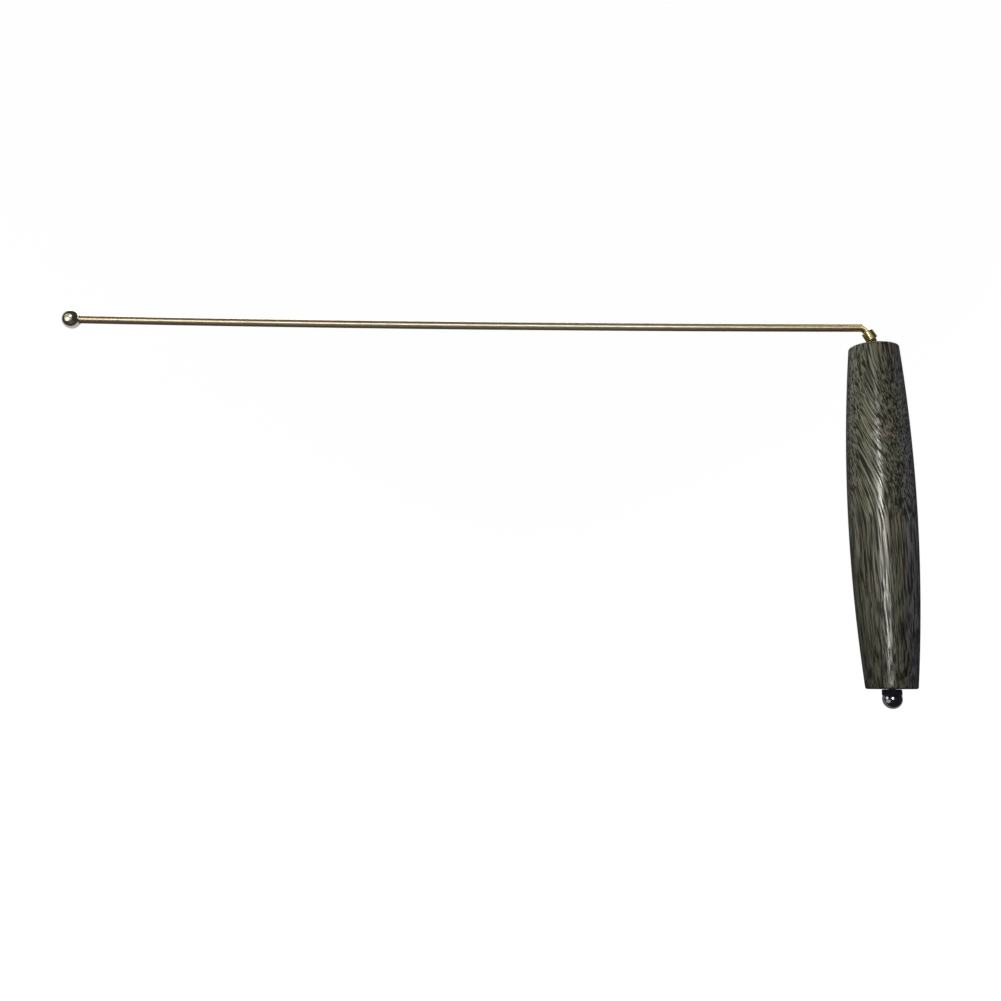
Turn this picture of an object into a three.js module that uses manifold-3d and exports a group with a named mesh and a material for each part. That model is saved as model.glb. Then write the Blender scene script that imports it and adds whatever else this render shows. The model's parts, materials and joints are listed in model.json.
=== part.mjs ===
// An L-shaped dowsing rod: a long brass arm that turns freely in a barrel-shaped wooden grip.
// Millimetres, +Z up. The origin is the middle of the grip, on its axis. The arm points along -X.

import * as THREE from 'three';
import { mergeVertices } from 'three/addons/utils/BufferGeometryUtils.js';
import Module from 'manifold-3d';

const wasm = await Module();
wasm.setup();

// ---- driving dimensions -------------------------------------------------------------------

const GRIP_LENGTH = 135;
const GRIP_MIDDLE_RADIUS = 12.95;
const GRIP_END_RADIUS = 9.65; // where the barrel's arc would meet the end plane, before rounding
const GRIP_RIM = 0.8; // rounding of the two rims
const GRIP_BORE_RADIUS = 2.0;

const ROD_RADIUS = 1.5875; // 1/8 inch stock, for the arm and the spindle
const THREAD_RADIUS = 1.5; // the spindle's lower end is cut M3
const RUNNING_GAP = 0.05; // spindle in its bushes, on the radius
const FIXED_GAP = 0.04; // pressed, screwed or soldered pieces, on the radius

const BUSH_RADIUS = 2.75;
const BUSH_LENGTH = 12;
const BUSH_FLANGE_RADIUS = 4.5;
const BUSH_FLANGE_THICK = 1.0;
const DRILL_OVERRUN = 0.5; // the bush's hole goes a little past its inner end
const FLANGE_BED = 0.05; // and leaves this much under its flange

const WASHER_RADIUS = 3.5;
const WASHER_THICK = 0.5;
const SHOULDER_RADIUS = 2.6;
const SHOULDER_THICK = 0.8;
const END_PLAY = 0.1; // washer over the upper bush, and shoulder over the washer

const SPACER_RADIUS = 3.75;
const SPACER_THICK = 2.3;
const SPACER_UPPER_ROUND = 0.5;
const SPACER_LOWER_ROUND = 0.25;
const SPACER_PLAY = 0.12; // spacer under the grip's lower end
const BALL_RADIUS = 3.8;
const END_BALL_FLAT = 1.22; // height of the end ball's seat above its centre
const END_SOCKET_DEPTH = 2.3; // the end ball's socket and the thread, below the ball's centre
const THREAD_DEPTH = 2.0;
const THREAD_CLEAR = 0.6; // the thread runs on this far above the spacer
const THREAD_CHAMFER = 0.3;
const SHOULDER_CHAMFER = 0.15;

const COUPLING_RADIUS = 2.41;
const COUPLING_LENGTH = 3.91;
const COUPLING_CHAMFER = 0.25;
const COUPLING_LEAN = THREE.MathUtils.degToRad(30); // from the grip's axis, towards the arm
const NECK_HEIGHT = 2.57; // where the coupling's axis leaves the grip's axis, over the grip's end
const COUPLING_START = 0.65; // along the coupling's axis from that point
const SPINDLE_END = 2.5; // how far the neck and the arm's root reach along the same axis
const ARM_START = 2.85;
const NECK_BEND = 3.0; // centreline radii of the two bends
const ARM_BEND = 3.0;

const ARM_HEIGHT = 8.24; // arm's centreline at its root, over the grip's end
const ARM_REACH = 322.7; // from the grip's axis to the tip ball's centre
const ARM_RISE = 3.29; // the arm's slight upward bow, at its tip
const TIP_SOCKET = 1.0; // the arm stops this far before the tip ball's centre
const TIP_SOCKET_CLEAR = 0.3; // and this far from the floor of the ball's socket
const TIP_MOUTH = 0.25; // flat round the socket's mouth

const TOP = GRIP_LENGTH / 2;

const GRIP_SIDES = 56;
const TURNED_SIDES = 40;
const BALL_SIDES = 32;
const NECK_SIDES = 24;
const ARM_SIDES = 20;

// ---- finishes -----------------------------------------------------------------------------

const finish = (color, roughness, metalness) =>
  new THREE.MeshStandardMaterial({ color, roughness, metalness });
const darkWood = finish(0x4a443a, 0.45, 0.0);
const brass = finish(0xb08d57, 0.3, 1.0);
const bushBrass = finish(0xa88a4e, 0.35, 1.0);
const polishedSteel = finish(0x6d6f6c, 0.12, 1.0);
const darkSteel = finish(0x26262c, 0.3, 1.0);

// ---- shape helpers ------------------------------------------------------------------------

const point = (radius, height) => new THREE.Vector2(radius, height);

// Points of an arc in a turned outline, from one angle to another in degrees.
function arc(radius, height, size, from, to, steps) {
  return Array.from({ length: steps + 1 }, (_, i) => {
    const angle = THREE.MathUtils.degToRad(from + ((to - from) * i) / steps);
    return point(radius + size * Math.cos(angle), height + size * Math.sin(angle));
  });
}

// A piece turned about Z. The outline runs counter-clockwise, with radius to the right.
function turned(outline, sides) {
  return new THREE.LatheGeometry(outline, sides).rotateX(Math.PI / 2);
}

// A ring's outline closes on itself.
const closed = (outline) => [...outline, outline[0].clone()];

// A route made of stretches, each with its own number of steps.
class Route extends THREE.Curve {
  constructor(stretches) {
    super();
    this.stretches = stretches;
    this.steps = stretches.reduce((sum, stretch) => sum + stretch.steps, 0);
  }

  getPoint(t) {
    let place = t * this.steps;
    for (const { curve, steps } of this.stretches) {
      if (place <= steps) return curve.getPoint(Math.max(place, 0) / steps);
      place -= steps;
    }
    return this.stretches.at(-1).curve.getPoint(1);
  }

  getUtoTmapping(u) {
    return u;
  }
}

// A round bar swept along a route.
function bar(radius, sides, stretches) {
  const route = new Route(stretches);
  const section = new THREE.Shape(
    Array.from({ length: sides }, (_, i) => {
      const angle = (2 * Math.PI * i) / sides;
      return new THREE.Vector2(radius * Math.cos(angle), radius * Math.sin(angle));
    }),
  );
  return new THREE.ExtrudeGeometry(section, { steps: route.steps, extrudePath: route });
}

// A bend in the XZ plane that rounds the corner between two directions.
function bend(corner, before, after, radius) {
  const reach = radius * Math.tan(before.angleTo(after) / 2);
  const start = corner.clone().addScaledVector(before, -reach);
  const end = corner.clone().addScaledVector(after, reach);
  const inward = after.clone().sub(before).normalize();
  const centre = corner.clone().addScaledVector(inward, radius / Math.cos(before.angleTo(after) / 2));
  return { start, end, curve: new BendCurve(centre, start, end) };
}

class BendCurve extends THREE.Curve {
  constructor(centre, start, end) {
    super();
    this.centre = centre;
    this.from = start.clone().sub(centre);
    this.to = end.clone().sub(centre);
  }

  getPoint(t) {
    const sweep = this.from.angleTo(this.to);
    const side = new THREE.Vector3().crossVectors(this.from, this.to).normalize();
    return this.from.clone().applyAxisAngle(side, sweep * t).add(this.centre);
  }
}

function solid(geometry) {
  const bare = geometry.clone().deleteAttribute('normal').deleteAttribute('uv');
  const merged = mergeVertices(bare, 1e-4);
  const mesh = new wasm.Mesh({
    numProp: 3,
    vertProperties: new Float32Array(merged.attributes.position.array),
    triVerts: new Uint32Array(merged.index.array),
  });
  return new wasm.Manifold(mesh);
}

function geometryOf(manifold) {
  const mesh = manifold.getMesh();
  const geometry = new THREE.BufferGeometry();
  geometry.setAttribute('position', new THREE.BufferAttribute(mesh.vertProperties, 3));
  geometry.setIndex(new THREE.BufferAttribute(mesh.triVerts, 1));
  geometry.computeVertexNormals();
  return geometry;
}

function part(name, geometry, material) {
  const mesh = new THREE.Mesh(geometry, material);
  mesh.name = name;
  return mesh;
}

// ---- grip and its bushes ------------------------------------------------------------------

// Radius of the barrel at a height, on one arc from end to end.
function barrelRadius(height) {
  const bulge = GRIP_MIDDLE_RADIUS - GRIP_END_RADIUS;
  const arcRadius = (TOP * TOP + bulge * bulge) / (2 * bulge);
  return GRIP_MIDDLE_RADIUS - (arcRadius - Math.sqrt(arcRadius * arcRadius - height * height));
}

function gripOutline() {
  const barrelSteps = 16;
  const rimHeight = TOP - GRIP_RIM;
  const rimRadius = barrelRadius(rimHeight) - GRIP_RIM;
  const barrel = Array.from({ length: barrelSteps - 1 }, (_, i) => {
    const height = rimHeight * ((2 * (i + 1)) / barrelSteps - 1);
    return point(barrelRadius(height), height);
  });
  const bushHole = BUSH_RADIUS + FIXED_GAP;
  const flangeHole = BUSH_FLANGE_RADIUS + FIXED_GAP;
  const bushDepth = TOP - BUSH_LENGTH - DRILL_OVERRUN;
  const flangeDepth = TOP - BUSH_FLANGE_THICK - FLANGE_BED;
  const upperHole = [
    point(flangeHole, TOP),
    point(flangeHole, flangeDepth),
    point(bushHole, flangeDepth),
    point(bushHole, bushDepth),
    point(GRIP_BORE_RADIUS, bushDepth),
  ];
  const lowerHole = upperHole.map((p) => point(p.x, -p.y)).reverse();
  return closed([
    ...arc(rimRadius, -rimHeight, GRIP_RIM, -90, 0, 3),
    ...barrel,
    ...arc(rimRadius, rimHeight, GRIP_RIM, 0, 90, 3),
    ...upperHole,
    ...lowerHole,
  ]);
}

function grip() {
  return part('grip', turned(gripOutline(), GRIP_SIDES), darkWood);
}

// A flanged bush with its flange flush with the grip's end. Side is +1 at the top, -1 below.
function bush(name, side) {
  const bore = ROD_RADIUS + RUNNING_GAP;
  const outline = closed([
    point(bore, TOP - BUSH_LENGTH),
    point(BUSH_RADIUS, TOP - BUSH_LENGTH),
    point(BUSH_RADIUS, TOP - BUSH_FLANGE_THICK),
    point(BUSH_FLANGE_RADIUS, TOP - BUSH_FLANGE_THICK),
    point(BUSH_FLANGE_RADIUS, TOP),
    point(bore, TOP),
  ]);
  const geometry = turned(outline, TURNED_SIDES);
  if (side < 0) geometry.rotateX(Math.PI);
  return part(name, geometry, bushBrass);
}

// ---- what turns in the grip ---------------------------------------------------------------

const washerBase = TOP + END_PLAY;
const shoulderBase = washerBase + WASHER_THICK + END_PLAY / 2;
const shoulderTop = shoulderBase + SHOULDER_THICK;
const spacerTop = -TOP - SPACER_PLAY;
const spacerBase = spacerTop - SPACER_THICK;
const endBallCentre = spacerBase - FIXED_GAP - END_BALL_FLAT;

const up = new THREE.Vector3(0, 0, 1);
const lean = new THREE.Vector3(-Math.sin(COUPLING_LEAN), 0, Math.cos(COUPLING_LEAN));
const outward = new THREE.Vector3(-1, 0, 0);
const neckCorner = new THREE.Vector3(0, 0, TOP + NECK_HEIGHT);
const alongLean = (distance) => neckCorner.clone().addScaledVector(lean, distance);

function thrustWasher() {
  const bore = ROD_RADIUS + RUNNING_GAP;
  const outline = closed([
    point(bore, washerBase),
    point(WASHER_RADIUS, washerBase),
    point(WASHER_RADIUS, washerBase + WASHER_THICK),
    point(bore, washerBase + WASHER_THICK),
  ]);
  return part('thrust_washer', turned(outline, TURNED_SIDES), polishedSteel);
}

// Turned journal with its thread and shoulder, joined to the bent neck.
function spindle() {
  const threadEnd = endBallCentre - THREAD_DEPTH;
  const threadTop = spacerTop + THREAD_CLEAR;
  const journal = turned(
    [
      point(0, threadEnd),
      point(THREAD_RADIUS - THREAD_CHAMFER, threadEnd),
      point(THREAD_RADIUS, threadEnd + THREAD_CHAMFER),
      point(THREAD_RADIUS, threadTop),
      point(ROD_RADIUS, threadTop + ROD_RADIUS - THREAD_RADIUS),
      point(ROD_RADIUS, shoulderBase),
      point(SHOULDER_RADIUS, shoulderBase),
      point(SHOULDER_RADIUS, shoulderTop - SHOULDER_CHAMFER),
      point(SHOULDER_RADIUS - SHOULDER_CHAMFER, shoulderTop),
      point(0, shoulderTop),
    ],
    TURNED_SIDES,
  );
  const neckRoot = new THREE.Vector3(0, 0, shoulderBase + SHOULDER_THICK / 2);
  const turn = bend(neckCorner, up, lean, NECK_BEND);
  const neck = bar(ROD_RADIUS, NECK_SIDES, [
    { curve: new THREE.LineCurve3(neckRoot, turn.start), steps: 1 },
    { curve: turn.curve, steps: 6 },
    { curve: new THREE.LineCurve3(turn.end, alongLean(SPINDLE_END)), steps: 1 },
  ]);
  return part('spindle', geometryOf(solid(journal).add(solid(neck))), brass);
}

function coupling() {
  const bore = ROD_RADIUS + FIXED_GAP;
  const outline = closed([
    point(bore, 0),
    point(COUPLING_RADIUS - COUPLING_CHAMFER, 0),
    point(COUPLING_RADIUS, COUPLING_CHAMFER),
    point(COUPLING_RADIUS, COUPLING_LENGTH - COUPLING_CHAMFER),
    point(COUPLING_RADIUS - COUPLING_CHAMFER, COUPLING_LENGTH),
    point(bore, COUPLING_LENGTH),
  ]);
  const sleeve = part('coupling', turned(outline, TURNED_SIDES), brass);
  sleeve.position.copy(alongLean(COUPLING_START));
  sleeve.rotation.y = -COUPLING_LEAN;
  return sleeve;
}

const armRoot = alongLean((ARM_HEIGHT - NECK_HEIGHT) / Math.cos(COUPLING_LEAN));
const tipCentre = new THREE.Vector3(-ARM_REACH, 0, armRoot.z + ARM_RISE);
const armTurn = bend(armRoot, lean, outward, ARM_BEND);
// The bow is one parabola, level where it leaves the bend.
const bowMiddle = new THREE.Vector3((armTurn.end.x + tipCentre.x) / 2, 0, armRoot.z);
const tipDirection = tipCentre.clone().sub(bowMiddle).normalize();

function arm() {
  const tipEnd = tipCentre.clone().addScaledVector(tipDirection, -TIP_SOCKET);
  const geometry = bar(ROD_RADIUS, ARM_SIDES, [
    { curve: new THREE.LineCurve3(alongLean(ARM_START), armTurn.start), steps: 1 },
    { curve: armTurn.curve, steps: 8 },
    { curve: new THREE.QuadraticBezierCurve3(armTurn.end, bowMiddle, tipEnd), steps: 28 },
  ]);
  return part('arm', geometry, brass);
}

// A drilled ball about Z, with its socket opening upwards.
function drilledBall(name, bore, socketFloor, seat, material) {
  const seatAngle = THREE.MathUtils.radToDeg(Math.asin(seat / BALL_RADIUS));
  const outline = [
    ...arc(0, 0, BALL_RADIUS, -90, seatAngle, 14),
    point(bore, seat),
    point(bore, socketFloor),
    point(0, socketFloor),
  ];
  outline[0].x = 0;
  return part(name, turned(outline, BALL_SIDES), material);
}

function tipBall() {
  const bore = ROD_RADIUS + FIXED_GAP;
  const mouth = Math.sqrt(BALL_RADIUS ** 2 - (bore + TIP_MOUTH) ** 2);
  const socketFloor = TIP_SOCKET - TIP_SOCKET_CLEAR;
  const ball = drilledBall('tip_ball', bore, socketFloor, mouth, polishedSteel);
  ball.quaternion.setFromUnitVectors(up, tipDirection.clone().negate());
  ball.position.copy(tipCentre);
  return ball;
}

function spacer() {
  const bore = THREAD_RADIUS + FIXED_GAP;
  const [lower, upper] = [SPACER_LOWER_ROUND, SPACER_UPPER_ROUND];
  const outline = closed([
    point(bore, spacerBase),
    ...arc(SPACER_RADIUS - lower, spacerBase + lower, lower, -90, 0, 3),
    ...arc(SPACER_RADIUS - upper, spacerTop - upper, upper, 0, 90, 5),
    point(bore, spacerTop),
  ]);
  return part('spacer', turned(outline, TURNED_SIDES), darkSteel);
}

function endBall() {
  const bore = THREAD_RADIUS + FIXED_GAP;
  const ball = drilledBall('end_ball', bore, -END_SOCKET_DEPTH, END_BALL_FLAT, darkSteel);
  ball.position.z = endBallCentre;
  return ball;
}

// ---- assembly -----------------------------------------------------------------------------

const handle = new THREE.Group();
handle.add(grip(), bush('upper_bush', 1), bush('lower_bush', -1));

const rod = new THREE.Group();
rod.add(spindle(), thrustWasher(), coupling(), arm(), tipBall(), spacer(), endBall());

const group = new THREE.Group();
group.add(handle, rod);

export default group;
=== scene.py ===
"""An L-shaped dowsing rod: a long brass arm, with a polished ball on its tip, that swivels in a
barrel-shaped grip of dark open-pored wood. Metres, +Z up, the arm along -X."""

import json
import math

import bmesh
import bpy
from mathutils import Matrix, Vector

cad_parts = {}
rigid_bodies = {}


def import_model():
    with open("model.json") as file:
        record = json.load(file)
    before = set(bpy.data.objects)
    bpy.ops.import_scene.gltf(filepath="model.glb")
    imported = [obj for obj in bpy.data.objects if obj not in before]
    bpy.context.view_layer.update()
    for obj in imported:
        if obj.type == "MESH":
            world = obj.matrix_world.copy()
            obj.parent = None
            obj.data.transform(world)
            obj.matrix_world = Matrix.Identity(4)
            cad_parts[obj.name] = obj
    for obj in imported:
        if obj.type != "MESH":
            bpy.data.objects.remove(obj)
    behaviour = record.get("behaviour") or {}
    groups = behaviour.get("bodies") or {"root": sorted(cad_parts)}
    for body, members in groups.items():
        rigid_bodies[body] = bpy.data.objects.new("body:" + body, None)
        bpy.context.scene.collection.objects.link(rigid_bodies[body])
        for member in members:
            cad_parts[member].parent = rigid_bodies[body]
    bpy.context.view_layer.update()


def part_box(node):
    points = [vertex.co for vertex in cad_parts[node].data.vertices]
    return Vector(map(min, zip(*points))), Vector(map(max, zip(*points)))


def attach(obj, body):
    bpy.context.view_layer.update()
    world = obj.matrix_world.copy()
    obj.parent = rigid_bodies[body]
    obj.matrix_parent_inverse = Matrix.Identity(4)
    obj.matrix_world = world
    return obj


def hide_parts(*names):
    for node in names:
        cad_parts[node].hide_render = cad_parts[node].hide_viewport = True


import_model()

MM = 0.001
UP = Vector((0, 0, 1))
OUTWARD = Vector((-1, 0, 0))  # from the grip towards the tip
ON_AXIS = 1e-7  # a point nearer to the axis than this is on it

# How many faces go round a piece, and how many steps up a ball
SIDES, SMALL_SIDES, GRIP_SIDES, BAR_SIDES = 96, 64, 160, 40
BALL_SIDES, BALL_STEPS = 80, 40

# ---- sizes taken from the frame ---------------------------------------------------------------


def size_of(node):
    low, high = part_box(node)
    return high - low


_, grip_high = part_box("grip")
TOP = grip_high.z  # the grip's two ends are at +TOP and -TOP
GRIP_MIDDLE = grip_high.x
GRIP_END = 9.65 * MM  # where the barrel's arc would meet the end, before its rim is rounded
GRIP_RIM = 0.8 * MM
GRIP_BORE = 2.0 * MM
DRILLED_PAST = 0.5 * MM  # how much deeper a bush's hole is than the bush
FLANGE_BED = 0.05 * MM  # and how much deeper its flange's seat is than the flange

ROD = size_of("arm").y / 2
RUNNING_GAP = 0.05 * MM
FIXED_GAP = 0.04 * MM

THREAD = 1.5 * MM  # to its crest, as ROD is to the bar's surface
THREAD_DEPTH = 0.22 * MM
THREAD_RIDGE = 0.19 * MM  # from the middle of the ridge's section to its corners
THREAD_LIFT = 0.02 * MM  # how far that middle stands off the thread's core
THREAD_PITCH = 0.5 * MM
THREAD_PAST_SPACER = 0.6 * MM
THREAD_PAST_CENTRE = 2.0 * MM  # below the end ball's centre

BUSH = 2.75 * MM
BUSH_FLANGE = size_of("upper_bush").x / 2
BUSH_LENGTH = size_of("upper_bush").z
FLANGE_THICK = 1.0 * MM

washer_low, washer_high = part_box("thrust_washer")
WASHER = washer_high.x
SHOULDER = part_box("spindle")[1].x
SHOULDER_BASE = washer_high.z + RUNNING_GAP
SHOULDER_THICK = 0.8 * MM

spacer_low, spacer_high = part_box("spacer")
BALL = size_of("end_ball").x / 2
END_BALL_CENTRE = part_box("end_ball")[0].z + BALL
END_BALL_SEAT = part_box("end_ball")[1].z - END_BALL_CENTRE
END_SOCKET = 2.3 * MM  # the end ball's hole goes this far past its centre

LEAN = math.radians(30)  # the coupling leans towards the arm
LEANING = Vector((-math.sin(LEAN), 0, math.cos(LEAN)))
NECK_CORNER = Vector((0, 0, TOP + 2.57 * MM))  # where the coupling's axis leaves the grip's axis
COUPLING = size_of("coupling").y / 2
COUPLING_START, COUPLING_LENGTH = 0.65 * MM, 3.91 * MM  # from that corner, along the lean
NECK_REACH, ARM_START = 2.5 * MM, 2.85 * MM  # where the two bars end inside the coupling
BEND = 3.0 * MM

ARM_HEIGHT = 8.24 * MM  # the arm's root over the grip's end
ARM_REACH = 322.7 * MM
ARM_RISE = 3.29 * MM  # the tip ball's centre over the arm's root
TIP_SOCKET = 1.0 * MM  # the arm stops this far from the tip ball's centre
TIP_SOCKET_FLOOR = 0.3 * MM  # and the hole goes on by this much
TIP_FLAT = 0.25 * MM  # the flat round the hole's mouth
FILLET = 0.25 * MM


def along_lean(distance):
    return NECK_CORNER + LEANING * distance


ARM_ROOT = along_lean((TOP + ARM_HEIGHT - NECK_CORNER.z) / math.cos(LEAN))
TIP_CENTRE = Vector((-ARM_REACH, 0, ARM_ROOT.z + ARM_RISE))
BEND_END = ARM_ROOT + OUTWARD * BEND * math.tan((math.pi / 2 - LEAN) / 2)
ARM_PULL = Vector(((BEND_END.x + TIP_CENTRE.x) / 2, 0, ARM_ROOT.z))  # the middle handle of its bow
TIP_DIRECTION = (TIP_CENTRE - ARM_PULL).normalized()

# ---- camera -----------------------------------------------------------------------------------

CAMERA_PLACE = Vector((-148.4, -429.6, -64.75)) * MM
CAMERA_PITCH, CAMERA_TURN, CAMERA_ROLL = (math.radians(a) for a in (9.247, 0.144, 0.109))
LENS, SENSOR = 39.89, 36.0  # millimetres, as the camera takes them
NEAR, FAR = 0.01, 20  # metres


def camera():
    data = bpy.data.cameras.new("camera")
    data.lens, data.sensor_width = LENS, SENSOR
    data.clip_start, data.clip_end = NEAR, FAR
    view = bpy.data.objects.new("camera", data)
    tilt = math.pi / 2 + CAMERA_PITCH
    turn = Matrix.Rotation(CAMERA_TURN, 4, "Z") @ Matrix.Rotation(tilt, 4, "X")
    view.matrix_world = (
        Matrix.Translation(CAMERA_PLACE) @ turn @ Matrix.Rotation(CAMERA_ROLL, 4, "Z")
    )
    bpy.context.scene.collection.objects.link(view)
    bpy.context.scene.camera = view


camera()

# ---- node trees -------------------------------------------------------------------------------


class Signal:
    """A varying number: wraps a socket, and an expression on it adds the Math nodes."""

    def __init__(self, tree, socket):
        self.tree, self.socket = tree, socket

    def maths(self, operation, *values, clamp=False):
        settings = {"operation": operation, "use_clamp": clamp}
        return self.tree.node("ShaderNodeMath", settings, dict(enumerate(values)))

    def __add__(self, other):
        return self.maths("ADD", self, other)

    def __sub__(self, other):
        return self.maths("SUBTRACT", self, other)

    def __rsub__(self, other):
        return self.maths("SUBTRACT", other, self)

    def __mul__(self, other):
        return self.maths("MULTIPLY", self, other)

    def __truediv__(self, other):
        return self.maths("DIVIDE", self, other)

    __radd__, __rmul__ = __add__, __mul__

    def capped(self):
        return self.maths("ADD", self, 0.0, clamp=True)

    def step(self, low, high):
        """0 below low, 1 above high, and smooth between them."""
        settings = {"interpolation_type": "SMOOTHSTEP"}
        sockets = {"Value": self, "From Min": low, "From Max": high}
        return self.tree.node("ShaderNodeMapRange", settings, sockets)


class NodeWork:
    """Adds nodes to a tree. Settings go on first, then each socket gets its value or its link."""

    def __init__(self, tree):
        self.tree = tree

    def node(self, kind, settings=None, sockets=None, out=0):
        node = self.tree.nodes.new(kind)
        for name, value in (settings or {}).items():
            if name == "stops":
                self.set_stops(node.color_ramp, value)
            else:
                setattr(node, name, value)
        for name, value in (sockets or {}).items():
            self.feed(node.inputs[name], value)
        return Signal(self, node.outputs[out])

    def feed(self, socket, value):
        if isinstance(value, Signal):
            self.tree.links.new(value.socket, socket)
        else:
            socket.default_value = value

    @staticmethod
    def set_stops(ramp, stops):
        while len(ramp.elements) < len(stops):
            ramp.elements.new(1.0)
        for element, (place, colour) in zip(ramp.elements, stops):
            element.position, element.color = place, (*colour, 1)


class Finish(NodeWork):
    """A material around one Principled shader, with the piece's own coordinates in millimetres."""

    def __init__(self, name, **fixed):
        self.material = bpy.data.materials.new(name)
        self.material.use_nodes = True
        super().__init__(self.material.node_tree)
        self.shader = self.tree.nodes["Principled BSDF"]
        for socket, value in fixed.items():
            self.set(socket.replace("_", " "), value)

    def set(self, socket, value):
        self.feed(self.shader.inputs[socket], value)

    def place(self):
        """X, Y and Z of the surface, in millimetres."""
        metres = self.node("ShaderNodeTexCoord", out="Object")
        sockets = {0: metres, "Scale": 1000}
        scaled = self.node("ShaderNodeVectorMath", {"operation": "SCALE"}, sockets)
        return [self.node("ShaderNodeSeparateXYZ", sockets={0: scaled}, out=i) for i in range(3)]

    def join(self, x, y, z):
        return self.node("ShaderNodeCombineXYZ", sockets={0: x, 1: y, 2: z})

    def noise(self, where, scale, detail=2.0, roughness=0.5, warp=0.0):
        sockets = {"Vector": where, "Scale": scale, "Detail": detail}
        sockets |= {"Roughness": roughness, "Distortion": warp}
        return self.node("ShaderNodeTexNoise", sockets=sockets)

    def mix(self, amount, first, second):
        first, second = ((*c, 1) if isinstance(c, tuple) else c for c in (first, second))
        sockets = {0: amount, 6: first, 7: second}
        return self.node("ShaderNodeMix", {"data_type": "RGBA"}, sockets, out=2)

    def bump(self, height, depth_mm, strength=1.0):
        sockets = {"Height": height, "Distance": depth_mm * MM, "Strength": strength}
        self.set("Normal", self.node("ShaderNodeBump", sockets=sockets))


# ---- finishes ---------------------------------------------------------------------------------


def dark_wood():
    """Dark oiled hardwood with open pores. In the upper half its fibres lean towards -X and +Y, so
    where the surface faces that way or the opposite way, they end in it as dots. Painted shade
    darkens the wood towards its lower end."""
    gloss = {"Roughness": 0.6, "Specular_IOR_Level": 0.15, "Coat_IOR": 1.7, "Coat_Roughness": 0.29}
    work = Finish("dark_wood", **gloss)
    green_dark, brown_dark = (0.013, 0.013, 0.010), (0.021, 0.014, 0.010)
    green_light, brown_light = (0.134, 0.138, 0.092), (0.152, 0.124, 0.091)
    # The first of the next two colours is the near-black of the painted shade at the lower end, the
    # second is the colour of the pores
    painted_shade_tone, pit = (0.006, 0.006, 0.006), (0.003, 0.003, 0.003)
    straight_below, lean_above, lean_mm = -8.0, 70.0, 25.0
    lean_x, lean_y, waver_mm = 0.77, 0.64, 3.0
    # Heights in millimetres below which the painted shade is full and above which it is gone, then
    # its strength
    painted_shade_full_below, painted_shade_none_above, painted_shade_amount = -85.0, 20.0, 0.55

    x, y, z = work.place()
    lean = z.step(straight_below, lean_above) * lean_mm + z * 0.02
    slow = work.join(x * 0.06, y * 0.06, z * 0.018)
    waver = work.noise(slow, 1.0, detail=1.0) * waver_mm - waver_mm / 2
    u, v = x + lean * lean_x + waver, y - lean * lean_y + waver

    def grain(across, along, shift=0.0):
        """Where to look up a pattern that is drawn out along the fibres."""
        return work.join(u * across, v * across, z * along + shift)

    bands = work.noise(grain(0.30, 0.014), 1.0).step(0.38, 0.62)
    tint = work.noise(grain(0.45, 0.05, 40.0), 1.0, detail=1.0)
    ridge = work.noise(grain(1.0, 0.022), 2.1, roughness=0.65).step(0.42, 0.59)
    pore = work.noise(grain(1.0, 0.035, 9.0), 1.6, detail=1.0).step(0.535, 0.575)

    dark = work.mix(tint.step(0.55, 0.70), green_dark, brown_dark)
    light = work.mix(tint.step(0.52, 0.68), green_light, brown_light)
    body = work.mix(bands * 0.2 + ridge * 0.8, dark, light)
    # Painted shade: the colour is mixed towards near-black down the lower end
    body = work.mix(painted_shade_amount - z.step(painted_shade_full_below, painted_shade_none_above) * painted_shade_amount, body, painted_shade_tone)
    work.set("Base Color", work.mix(pore * 0.85, body, pit))
    work.set("Coat Weight", (0.35 + ridge * 0.65) * (1.0 - pore * 0.9))
    work.bump(1.0 - pore * 0.8 + ridge * 0.15, depth_mm=0.15, strength=0.65)
    return work.material


def rod_brass():
    """Drawn brass, a little aged: fine lines along the bar and a slow drift of colour."""
    work = Finish("rod_brass", Metallic=1.0)
    x, y, z = work.place()
    lines = work.noise(work.join(x * 0.05, y, z), 7.0, detail=2.0)
    mottle = work.noise(work.join(x * 0.25, y, z), 0.8, detail=3.0)
    along = (x * -1 / (ARM_REACH / MM)).capped()
    deep, pale = (0.64, 0.49, 0.29), (0.84, 0.78, 0.60)
    rosy, aged = (0.80, 0.66, 0.48), (0.50, 0.40, 0.22)
    stops = [(0.0, deep), (0.3, pale), (1.0, rosy)]
    clean = work.node("ShaderNodeValToRGB", {"stops": stops}, {0: along})
    work.set("Base Color", work.mix(mottle.step(0.45, 0.8) * 0.5, clean, aged))
    work.set("Roughness", 0.24 + lines * 0.10 + mottle * 0.08)
    work.bump(lines, depth_mm=0.006, strength=0.5)
    return work.material


def turned_brass(name, colour, dull):
    """Lathe-turned brass with fine level rings and a dulled mottle."""
    work = Finish(name, Metallic=1.0)
    x, y, z = work.place()
    rings = work.noise(work.join(x * 0.1, y * 0.1, z), 9.0, detail=1.0)
    mottle = work.noise(work.join(x, y, z), 1.1, detail=3.0)
    work.set("Base Color", work.mix(mottle.step(0.45, 0.8) * 0.6, colour, dull))
    work.set("Roughness", 0.2 + rings * 0.12 + mottle * 0.06)
    work.bump(rings, depth_mm=0.003, strength=0.4)
    return work.material


def polished_steel(name, colour, shade, roughness):
    """Polished steel with faint scuffs and a thin haze."""
    work = Finish(name, Metallic=1.0)
    x, y, z = work.place()
    haze = work.noise(work.join(x, y, z), 0.7, detail=3.0, warp=0.6)
    scuffs = work.noise(work.join(x * 0.6, y * 2.2, z * 2.2), 3.5, detail=3.0, warp=1.5)
    work.set("Base Color", work.mix(haze.step(0.4, 0.75) * 0.6, colour, shade))
    work.set("Roughness", roughness + scuffs.step(0.55, 0.8) * 0.12 + haze * 0.05)
    work.bump(scuffs, depth_mm=0.004, strength=0.5)
    return work.material


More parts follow.
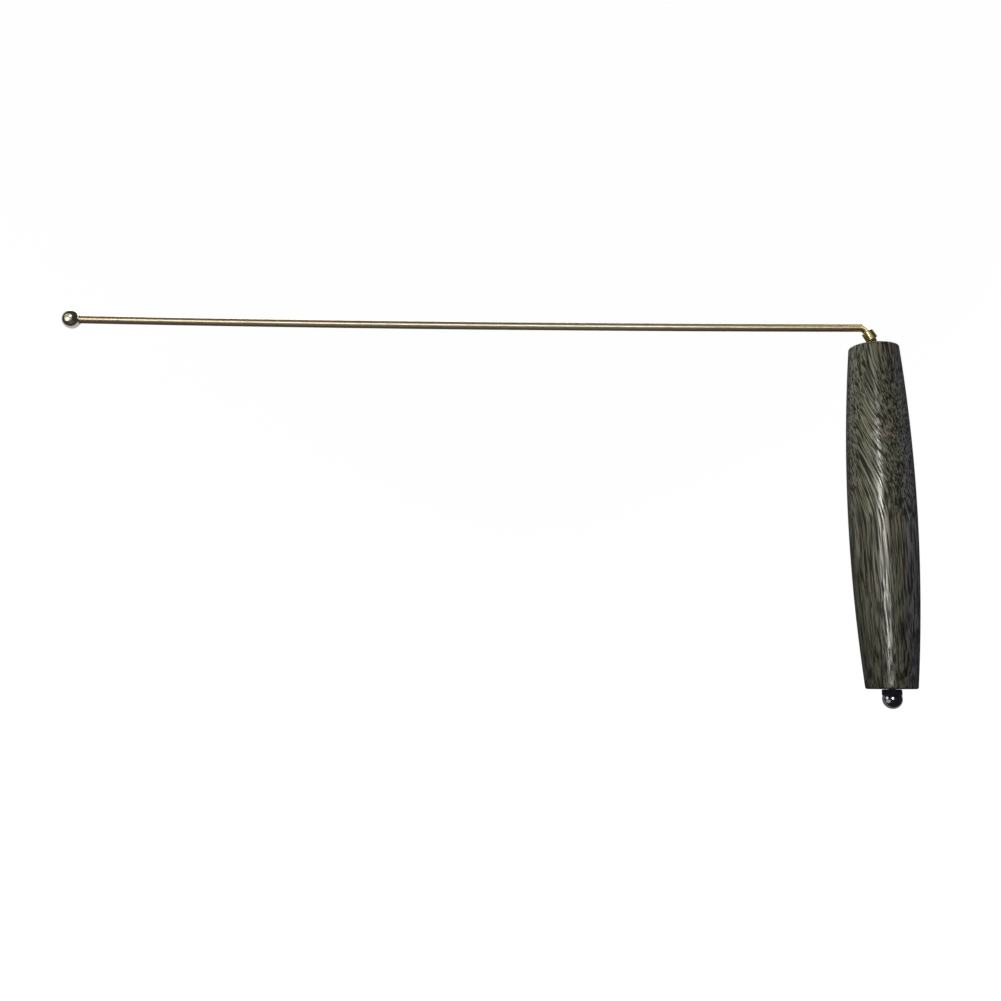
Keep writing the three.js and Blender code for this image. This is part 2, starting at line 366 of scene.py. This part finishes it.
FINISHES = {
    "dark_wood": dark_wood(),
    "rod_brass": rod_brass(),
    "coupling_brass": turned_brass("coupling_brass", (0.62, 0.55, 0.28), (0.40, 0.37, 0.15)),
    "bush_brass": turned_brass("bush_brass", (0.66, 0.51, 0.26), (0.40, 0.30, 0.14)),
    "washer_steel": polished_steel("washer_steel", (0.55, 0.55, 0.54), (0.38, 0.38, 0.38), 0.28),
    "ball_steel": polished_steel("ball_steel", (0.50, 0.50, 0.40), (0.38, 0.39, 0.30), 0.14),
    # The end ball's steel is the ball steel made much darker: painted shade for the dark
    # surroundings it reflects
    "dark_ball_steel": polished_steel(
        "dark_ball_steel", (0.15, 0.15, 0.17), (0.10, 0.10, 0.12), 0.12
    ),
    "dark_steel": polished_steel("dark_steel", (0.15, 0.15, 0.22), (0.10, 0.10, 0.15), 0.42),
}

# ---- mesh helpers -----------------------------------------------------------------------------


def rounded(corners, steps=5):
    """An outline through (radius, height, rounding) corners, each rounded off by its own arc."""
    points = []
    for i, (radius, height, size) in enumerate(corners):
        here = Vector((radius, height))
        if not size:
            points.append(here)
            continue
        before = (Vector(corners[i - 1][:2]) - here).normalized()
        after = (Vector(corners[(i + 1) % len(corners)][:2]) - here).normalized()
        half = before.angle(after) / 2
        centre = here + (before + after).normalized() * size / math.sin(half)
        start = here + before * size / math.tan(half) - centre
        end = here + after * size / math.tan(half) - centre
        points += [centre + start.slerp(end, k / steps) * size for k in range(steps + 1)]
    return points


def quarter(steps):
    """Angles of a quarter turn, in radians."""
    return [math.pi / 2 * k / steps for k in range(steps + 1)]


def ball_arc(radius, low, high, steps=BALL_STEPS):
    """Points of a ball's outline between two angles from its equator, in radians."""
    angles = [low + (high - low) * i / steps for i in range(steps + 1)]
    return [Vector((max(radius * math.cos(a), 0), radius * math.sin(a))) for a in angles]


def turned(outline, sides=SIDES, ring=False):
    """A mesh turned about Z from (radius, height) points, bottom up. A ring closes on itself."""
    shape = bmesh.new()
    loops = []
    for radius, height in outline:
        if radius < ON_AXIS:
            loops.append([shape.verts.new((0, 0, height))] * sides)
            continue
        angles = [2 * math.pi * i / sides for i in range(sides)]
        loops.append(
            [shape.verts.new((radius * math.cos(a), radius * math.sin(a), height)) for a in angles]
        )
    pairs = list(zip(loops, loops[1:])) + ([(loops[-1], loops[0])] if ring else [])
    for lower, upper in pairs:
        for i in range(sides):
            j = (i + 1) % sides
            shape.faces.new(list(dict.fromkeys((lower[i], lower[j], upper[j], upper[i]))))
    bmesh.ops.recalc_face_normals(shape, faces=shape.faces)
    mesh = bpy.data.meshes.new("turned")
    shape.to_mesh(mesh)
    shape.free()
    return mesh


pieces = {}


def finished(name, mesh, slot, body, stands_for=None, place=None, sharp=40):
    """Makes a mesh a finished piece: placed, riding on its body, and smooth but for the edges that
    turn by more than the sharp angle, in degrees."""
    mesh.name = name
    if place is not None:
        mesh.transform(place)
    mesh.shade_smooth()
    mesh.set_sharp_from_angle(angle=math.radians(sharp))
    mesh.materials.clear()
    mesh.materials.append(FINISHES[slot])
    piece = bpy.data.objects.new(name, mesh)
    bpy.context.scene.collection.objects.link(piece)
    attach(piece, body)
    if stands_for:
        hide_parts(stands_for)
    pieces[name] = piece


# ---- what Geometry Nodes make -----------------------------------------------------------------


class Recipe(NodeWork):
    """A Geometry Nodes tree with named inputs, ending in Realize Instances and Set Material."""

    def __init__(self, name, **inputs):
        super().__init__(bpy.data.node_groups.new(name, "GeometryNodeTree"))
        face = self.tree.interface
        face.new_socket("Geometry", in_out="INPUT", socket_type="NodeSocketGeometry")
        self.ids = {
            label: face.new_socket(label, in_out="INPUT", socket_type=kind).identifier
            for label, kind in inputs.items()
        }
        face.new_socket("Geometry", in_out="OUTPUT", socket_type="NodeSocketGeometry")
        self.given = self.tree.nodes.new("NodeGroupInput")

    def input(self, label):
        return Signal(self, self.given.outputs[label])

    def end(self, shape):
        whole = self.node("GeometryNodeRealizeInstances", sockets={"Geometry": shape})
        sockets = {"Geometry": whole, "Material": self.input("Material")}
        done = self.node("GeometryNodeSetMaterial", sockets=sockets)
        self.feed(self.tree.nodes.new("NodeGroupOutput").inputs[0], done)

    def make(self, base, **values):
        """The plain mesh that the tree makes from a base object, which is then removed."""
        modifier = base.modifiers.new("recipe", "NODES")
        modifier.node_group = self.tree
        for label, value in values.items():
            modifier[self.ids[label]] = value
        seen = base.evaluated_get(bpy.context.evaluated_depsgraph_get())
        mesh = bpy.data.meshes.new_from_object(seen)
        base.modifiers.remove(modifier)
        bpy.data.objects.remove(base)
        return mesh


def swept_bar():
    """A round bar along a curve, with closed ends."""
    work = Recipe(
        "swept_bar", Radius="NodeSocketFloat", Sides="NodeSocketInt", Material="NodeSocketMaterial"
    )
    sockets = {"Resolution": work.input("Sides"), "Radius": work.input("Radius")}
    section = work.node("GeometryNodeCurvePrimitiveCircle", {"mode": "RADIUS"}, sockets)
    sockets = {"Curve": work.input("Geometry"), "Profile Curve": section, "Fill Caps": True}
    work.end(work.node("GeometryNodeCurveToMesh", sockets=sockets))
    return work


def screw_thread():
    """A cut thread's ridge: a three-sided section that climbs round a helix."""
    steps_a_turn, section_sides = 36, 3
    work = Recipe(
        "screw_thread",
        Turns="NodeSocketFloat",
        Radius="NodeSocketFloat",
        Height="NodeSocketFloat",
        Ridge="NodeSocketFloat",
        Material="NodeSocketMaterial",
    )
    radius = work.input("Radius")
    sockets = {"Resolution": steps_a_turn, "Start Radius": radius, "End Radius": radius}
    sockets |= {"Rotations": work.input("Turns"), "Height": work.input("Height")}
    helix = work.node("GeometryNodeCurveSpiral", sockets=sockets)
    upright = work.node("GeometryNodeSetCurveNormal", {"mode": "Z_UP"}, {"Curve": helix})
    sockets = {"Resolution": section_sides, "Radius": work.input("Ridge")}
    section = work.node("GeometryNodeCurvePrimitiveCircle", {"mode": "RADIUS"}, sockets)
    sockets = {"Curve": upright, "Profile Curve": section, "Fill Caps": True}
    work.end(work.node("GeometryNodeCurveToMesh", sockets=sockets))
    return work


SWEPT_BAR = swept_bar()
SCREW_THREAD = screw_thread()


def route(points):
    """A curve object of straight steps through the points, for a recipe to work on."""
    data = bpy.data.curves.new("route", "CURVE")
    data.dimensions = "3D"
    line = data.splines.new("POLY")
    line.points.add(len(points) - 1)
    for spot, point in zip(line.points, points):
        spot.co = (*point, 1)
    base = bpy.data.objects.new("route", data)
    bpy.context.scene.collection.objects.link(base)
    return base


def bar_along(points, radius, slot):
    return SWEPT_BAR.make(
        route(points), Radius=radius, Sides=BAR_SIDES, Material=FINISHES[slot]
    )


def bend(corner, before, after, radius, steps=16):
    """Points of an arc that rounds the corner between two directions."""
    half = before.angle(after) / 2
    reach = radius * math.tan(half)
    centre = corner + (after - before).normalized() * radius / math.cos(half)
    start, end = corner - before * reach - centre, corner + after * reach - centre
    return [centre + start.slerp(end, k / steps) * radius for k in range(steps + 1)]


# ---- the grip and its bushes ------------------------------------------------------------------


def barrel(height):
    """The grip's radius at a height: one arc from end to end."""
    bulge = GRIP_MIDDLE - GRIP_END
    arc = (TOP * TOP + bulge * bulge) / (2 * bulge)
    return GRIP_MIDDLE - (arc - math.sqrt(arc * arc - height * height))


def grip():
    """The barrel, with a stepped hole in each end for a bush and a bore right through."""
    steps, rim_steps = 72, 6
    rim = TOP - GRIP_RIM
    edge = barrel(rim) - GRIP_RIM
    rim_arc = [
        Vector((edge + GRIP_RIM * math.cos(a), rim + GRIP_RIM * math.sin(a)))
        for a in quarter(rim_steps)
    ]
    heights = [rim * (2 * k / steps - 1) for k in range(1, steps)]
    side = [Vector((barrel(h), h)) for h in heights]
    hole, flange_hole = BUSH + FIXED_GAP, BUSH_FLANGE + FIXED_GAP
    depth, flange_depth = TOP - BUSH_LENGTH - DRILLED_PAST, TOP - FLANGE_THICK - FLANGE_BED
    upper = rounded(
        [
            (flange_hole, TOP, 0.0),
            (flange_hole, flange_depth, 0.0),
            (hole, flange_depth, 0.0),
            (hole, depth, 0.0),
            (GRIP_BORE, depth, 0.0),
        ]
    )
    half = rim_arc + upper
    lower = [Vector((p.x, -p.y)) for p in reversed(half)]
    mesh = turned(lower + side + half, GRIP_SIDES, ring=True)
    finished("grip", mesh, "dark_wood", "handle", "grip")


def bushes():
    bore = ROD + RUNNING_GAP
    edge, flange_edge, mouth, nose = 0.1 * MM, 0.15 * MM, 0.2 * MM, 0.3 * MM
    outline = rounded(
        [
            (bore, TOP - BUSH_LENGTH, edge),
            (BUSH, TOP - BUSH_LENGTH, nose),
            (BUSH, TOP - FLANGE_THICK, 0.0),
            (BUSH_FLANGE, TOP - FLANGE_THICK, edge),
            (BUSH_FLANGE, TOP, flange_edge),
            (bore, TOP, mouth),
        ]
    )
    for name, place in (("upper_bush", None), ("lower_bush", Matrix.Rotation(math.pi, 4, "X"))):
        mesh = turned(outline, ring=True)
        finished(name, mesh, "bush_brass", "handle", name, place)


# ---- what turns in the grip -------------------------------------------------------------------


def thrust_washer():
    bore, edge = ROD + RUNNING_GAP, 0.08 * MM
    base, face = washer_low.z, washer_high.z
    corners = [(bore, base), (WASHER, base), (WASHER, face), (bore, face)]
    mesh = turned(rounded([(radius, height, edge) for radius, height in corners]), ring=True)
    finished("thrust_washer", mesh, "washer_steel", "rod", "thrust_washer")


def spindle():
    """The journal with its shoulder, the bent neck on top and the cut thread below."""
    thread_low = END_BALL_CENTRE - THREAD_PAST_CENTRE
    thread_high = spacer_high.z + THREAD_PAST_SPACER
    core = THREAD - THREAD_DEPTH
    shoulder_top = SHOULDER_BASE + SHOULDER_THICK
    corner, edge, shoulder_edge, nose = 0.05 * MM, 0.1 * MM, 0.15 * MM, 0.3 * MM
    relief = 0.15 * MM  # the cone between the thread and the journal
    stub = shoulder_top + relief  # hidden in the neck's bar
    outline = rounded(
        [
            (0, thread_low, 0.0),
            (core, thread_low, nose),
            (core, thread_high, 0.0),
            (ROD, thread_high + relief, edge),
            (ROD, SHOULDER_BASE, corner),
            (SHOULDER, SHOULDER_BASE, edge),
            (SHOULDER, shoulder_top, shoulder_edge),
            (ROD, shoulder_top, edge),
            (ROD, stub, 0.0),
            (0, stub, 0.0),
        ]
    )
    finished("spindle", turned(outline, SMALL_SIDES), "rod_brass", "rod", "spindle")
    neck = [Vector((0, 0, shoulder_top)), *bend(NECK_CORNER, UP, LEANING, BEND)]
    neck.append(along_lean(NECK_REACH))
    finished("spindle_neck", bar_along(neck, ROD, "rod_brass"), "rod_brass", "rod")
    length = thread_high - thread_low - 2 * THREAD_PITCH
    ridge = SCREW_THREAD.make(
        route([Vector((0, 0, 0)), UP * THREAD_PITCH]),
        Turns=length / THREAD_PITCH,
        Radius=core + THREAD_LIFT,
        Height=length,
        Ridge=THREAD_RIDGE,
        Material=FINISHES["rod_brass"],
    )
    lift = Matrix.Translation((0, 0, thread_low + THREAD_PITCH))
    finished("spindle_thread", ridge, "rod_brass", "rod", place=lift, sharp=30)


def leaning_place(distance):
    """Stands a piece that was turned about Z on the coupling's leaning axis."""
    return Matrix.Translation(along_lean(distance)) @ Matrix.Rotation(-LEAN, 4, "Y")


def coupling():
    """The short sleeve that joins the arm's root to the spindle's neck."""
    bore = ROD + FIXED_GAP
    mouth, upper_edge, lower_edge = 0.1 * MM, 0.3 * MM, 0.35 * MM
    outline = rounded(
        [
            (bore, 0, mouth),
            (COUPLING, 0, lower_edge),
            (COUPLING, COUPLING_LENGTH, upper_edge),
            (bore, COUPLING_LENGTH, mouth),
        ]
    )
    mesh = turned(outline, SMALL_SIDES, ring=True)
    place = leaning_place(COUPLING_START)
    finished("coupling", mesh, "coupling_brass", "rod", "coupling", place)


def solder_fillet(name, place):
    """The small hollow fillet of solder where a bar enters a socket, standing on its mouth."""
    sunk, steps = 0.05 * MM, 6
    hollow = [
        Vector((ROD + FILLET * (1 - math.sin(a)), FILLET * (1 - math.cos(a))))
        for a in quarter(steps)
    ]
    under = [Vector((ROD - sunk, FILLET)), Vector((ROD - sunk, -sunk))]
    foot = [Vector((ROD + FILLET, -sunk))]
    mesh = turned(hollow + under + foot, SMALL_SIDES, ring=True)
    finished(name, mesh, "coupling_brass", "rod", place=place)


def arm():
    """One bar: the root in the coupling, the bend, then a slight upward bow to the tip ball."""
    start, end = BEND_END, TIP_CENTRE - TIP_DIRECTION * TIP_SOCKET
    steps = 48
    points = [along_lean(ARM_START)] + bend(ARM_ROOT, LEANING, OUTWARD, BEND)
    for k in range(1, steps + 1):
        t = k / steps
        points.append(start * (1 - t) ** 2 + ARM_PULL * 2 * t * (1 - t) + end * t * t)
    finished("arm", bar_along(points, ROD, "rod_brass"), "rod_brass", "rod", "arm")


def drilled_ball(name, bore, floor, seat, slot, place):
    """A ball with a blind socket that opens upwards, its mouth lightly countersunk."""
    mouth = 0.15 * MM
    outline = ball_arc(BALL, -math.pi / 2, math.asin(seat / BALL))
    outline += [Vector((bore + mouth, seat)), Vector((bore, seat - mouth))]
    outline += [Vector((bore, floor)), Vector((0, floor))]
    finished(name, turned(outline, BALL_SIDES), slot, "rod", name, place)


def tip_ball():
    turn = (-TIP_DIRECTION).to_track_quat("Z", "Y").to_matrix().to_4x4()
    place = Matrix.Translation(TIP_CENTRE) @ turn
    bore = ROD + FIXED_GAP
    seat = math.sqrt(BALL**2 - (bore + TIP_FLAT) ** 2)
    drilled_ball("tip_ball", bore, TIP_SOCKET - TIP_SOCKET_FLOOR, seat, "ball_steel", place)
    solder_fillet("tip_solder", place @ Matrix.Translation((0, 0, seat)))


def end_ball():
    place = Matrix.Translation((0, 0, END_BALL_CENTRE))
    bore = THREAD + FIXED_GAP
    # Its steel is the darkened copy of the ball steel, painted shade
    drilled_ball("end_ball", bore, -END_SOCKET, END_BALL_SEAT, "dark_ball_steel", place)


def spacer():
    """The collar between the grip and the end ball. Its upper edge is rounded the most."""
    bore, outer = THREAD + FIXED_GAP, spacer_high.x
    mouth, lower_edge, upper_edge = 0.1 * MM, 0.25 * MM, 0.5 * MM
    outline = rounded(
        [
            (bore, spacer_low.z, 0.0),
            (outer, spacer_low.z, lower_edge),
            (outer, spacer_high.z, upper_edge),
            (bore, spacer_high.z, mouth),
        ],
        steps=8,
    )
    finished("spacer", turned(outline, ring=True), "dark_steel", "rod", "spacer")


grip()
bushes()
thrust_washer()
spindle()
coupling()
solder_fillet("upper_solder", leaning_place(COUPLING_START + COUPLING_LENGTH))
arm()
tip_ball()
spacer()
end_ball()

# ---- studio -----------------------------------------------------------------------------------


def pale_studio():
    """A round floor that sweeps up into a closed dome, so every view has one pale ground."""
    floor, reach, corner, roof, dome_rise = -0.34, 1.7, 0.9, 2.6, 1.0
    corner_steps, dome_steps = 16, 12
    sweep = [
        Vector((reach - corner + corner * math.sin(a), floor + corner * (1 - math.cos(a))))
        for a in quarter(corner_steps)
    ]
    dome = [
        Vector((reach * math.cos(a), roof - dome_rise + dome_rise * math.sin(a)))
        for a in quarter(dome_steps)
    ]
    dome[-1].x = 0
    mesh = turned([Vector((0, floor)), *sweep, *dome])
    mesh.shade_smooth()
    pale = Finish("pale_paper", Base_Color=(0.35, 0.35, 0.35, 1), Roughness=1.0)
    pale.set("Emission Color", (1.0, 1.0, 1.0, 1))
    pale.set("Emission Strength", 0.97)
    pale.set("Specular IOR Level", 0.0)
    mesh.materials.append(pale.material)
    room = bpy.data.objects.new("studio_floor", mesh)
    bpy.context.scene.collection.objects.link(room)
    room.visible_glossy = room.visible_diffuse = False


def direction(turn, rise):
    """Turn is in degrees from the front towards +X, and rise is from level."""
    turn, rise = math.radians(turn), math.radians(rise)
    level = math.cos(rise)
    return Vector((math.sin(turn) * level, -math.cos(turn) * level, math.sin(rise)))


LARGE_BOX = 0.5  # a soft box with a longer side than this is square-cornered
WHITE, WARM, OLIVE, COOL = (1, 1, 1), (1.0, 0.98, 0.91), (1.0, 0.98, 0.80), (0.80, 0.86, 1.0)
BLUE, STRAW, AMBER, LEAF = (0.45, 0.50, 1.0), (1.0, 0.99, 0.90), (1.0, 0.9, 0.5), (0.9, 1.0, 0.6)
CREAM, ROSE, PINK = (1.0, 0.98, 0.86), (1.0, 0.90, 0.98), (1.0, 0.95, 1.0)
ROOM_TONE = (0.062, 0.062, 0.070, 1)


def soft_light(name, on, aim, place, size, radiance, colour=WHITE):
    """A soft box that faces a point, placed by its turn, rise and distance from it. When pieces are
    given, it lights only those."""
    data = bpy.data.lights.new(name, "AREA")
    data.shape = "RECTANGLE" if max(size) > LARGE_BOX else "ELLIPSE"
    data.size, data.size_y = size
    data.energy, data.color = radiance * math.pi * size[0] * size[1], colour
    turn, rise, distance = place
    out = direction(turn, rise)
    light = bpy.data.objects.new(name, data)
    face = out.to_track_quat("Z", "Y").to_matrix().to_4x4()
    light.matrix_world = Matrix.Translation(Vector(aim) + out * distance) @ face
    light.visible_camera = False
    bpy.context.scene.collection.objects.link(light)
    if on:
        lit = bpy.data.collections.new(name)
        for piece in on:
            lit.objects.link(pieces[piece])
        light.light_linking.receiver_collection = lit


def lights():
    """Small boxes make the highlights and large ones the glow beside them, finish by finish."""
    middle, foot, tip = (0, 0, 0), (0, 0, END_BALL_CENTRE), tuple(TIP_CENTRE)
    handle = ("grip", "upper_bush", "lower_bush")
    neck, bar = ("coupling", "upper_solder"), ("arm",)
    tip_end, foot_end = ("tip_ball",), ("end_ball",)
    soft_light("window", handle, middle, (-21, 2, 0.9), (0.10, 0.50), 36, WARM)
    soft_light("grip_glow", handle, middle, (-48, 14, 0.9), (0.95, 0.42), 1.6, OLIVE)
    soft_light("left_glow", handle, middle, (-115, 20, 1.0), (0.8, 0.6), 0.6, WARM)
    side_on = handle + ("spacer", "end_ball")
    soft_light("side", side_on, middle, (118, 58, 1.0), (0.8, 0.6), 2.4, WARM)
    soft_light("right_fill", handle, middle, (80, 5, 1.0), (0.9, 0.7), 0.35, BLUE)
    soft_light("arm_glow", bar, middle, (-12, 6, 0.9), (1.15, 0.32), 2.65, STRAW)
    soft_light("arm_floor", bar + tip_end, middle, (-10, -50, 0.8), (1.0, 0.6), 0.09, AMBER)
    soft_light("arm_left", bar, middle, (-70, 12, 0.9), (0.7, 0.35), 2.2, WARM)
    soft_light("arm_back", bar + neck, middle, (150, 10, 0.9), (1.4, 0.35), 2.2, WARM)
    soft_light("bend_lamp", bar + ("upper_solder",), middle, (77, 41, 0.8), (0.7, 0.5), 7.5)
    soft_light("neck_lamp", neck, middle, (-27, 8, 0.9), (0.12, 0.7), 11, WARM)
    soft_light("neck_fill", neck, middle, (0, 10, 0.9), (0.8, 0.6), 0.42, OLIVE)
    soft_light("neck_left", neck, middle, (-100, 10, 0.9), (0.6, 0.6), 0.85, LEAF)
    soft_light("foot_lamp", foot_end, foot, (-80, 9, 0.6), (0.30, 0.26), 4.0)
    soft_light("foot_window", foot_end, foot, (-14, 8, 0.6), (0.24, 0.26), 12)
    soft_light("foot_card", foot_end, foot, (-70, -24, 0.4), (0.44, 0.24), 1.3)
    soft_light("tip_lamp", tip_end, tip, (-30, -13, 0.6), (0.46, 0.30), 5, CREAM)
    soft_light("tip_spark", tip_end, tip, (6, 24, 0.6), (0.18, 0.16), 5, WARM)
    soft_light("tip_room", tip_end, tip, (-25, 10, 0.6), (1.2, 1.0), 0.8, OLIVE)
    soft_light("tip_card", tip_end, tip, (180, 0, 0.2), (1.0, 1.2), 0.9, ROSE)
    soft_light("foot_back", foot_end, foot, (180, 0, 0.2), (1.0, 1.2), 0.5, PINK)
    soft_light("back_left", (), middle, (-145, 48, 1.1), (0.8, 0.6), 2.6)
    soft_light("back_right", (), middle, (150, 48, 1.1), (0.8, 0.6), 2.5, COOL)
    world = bpy.data.worlds.new("studio")
    world.use_nodes = True
    world.node_tree.nodes["Background"].inputs[0].default_value = ROOM_TONE
    bpy.context.scene.world = world


pale_studio()
lights()
bpy.context.scene.view_settings.view_transform = "Standard"
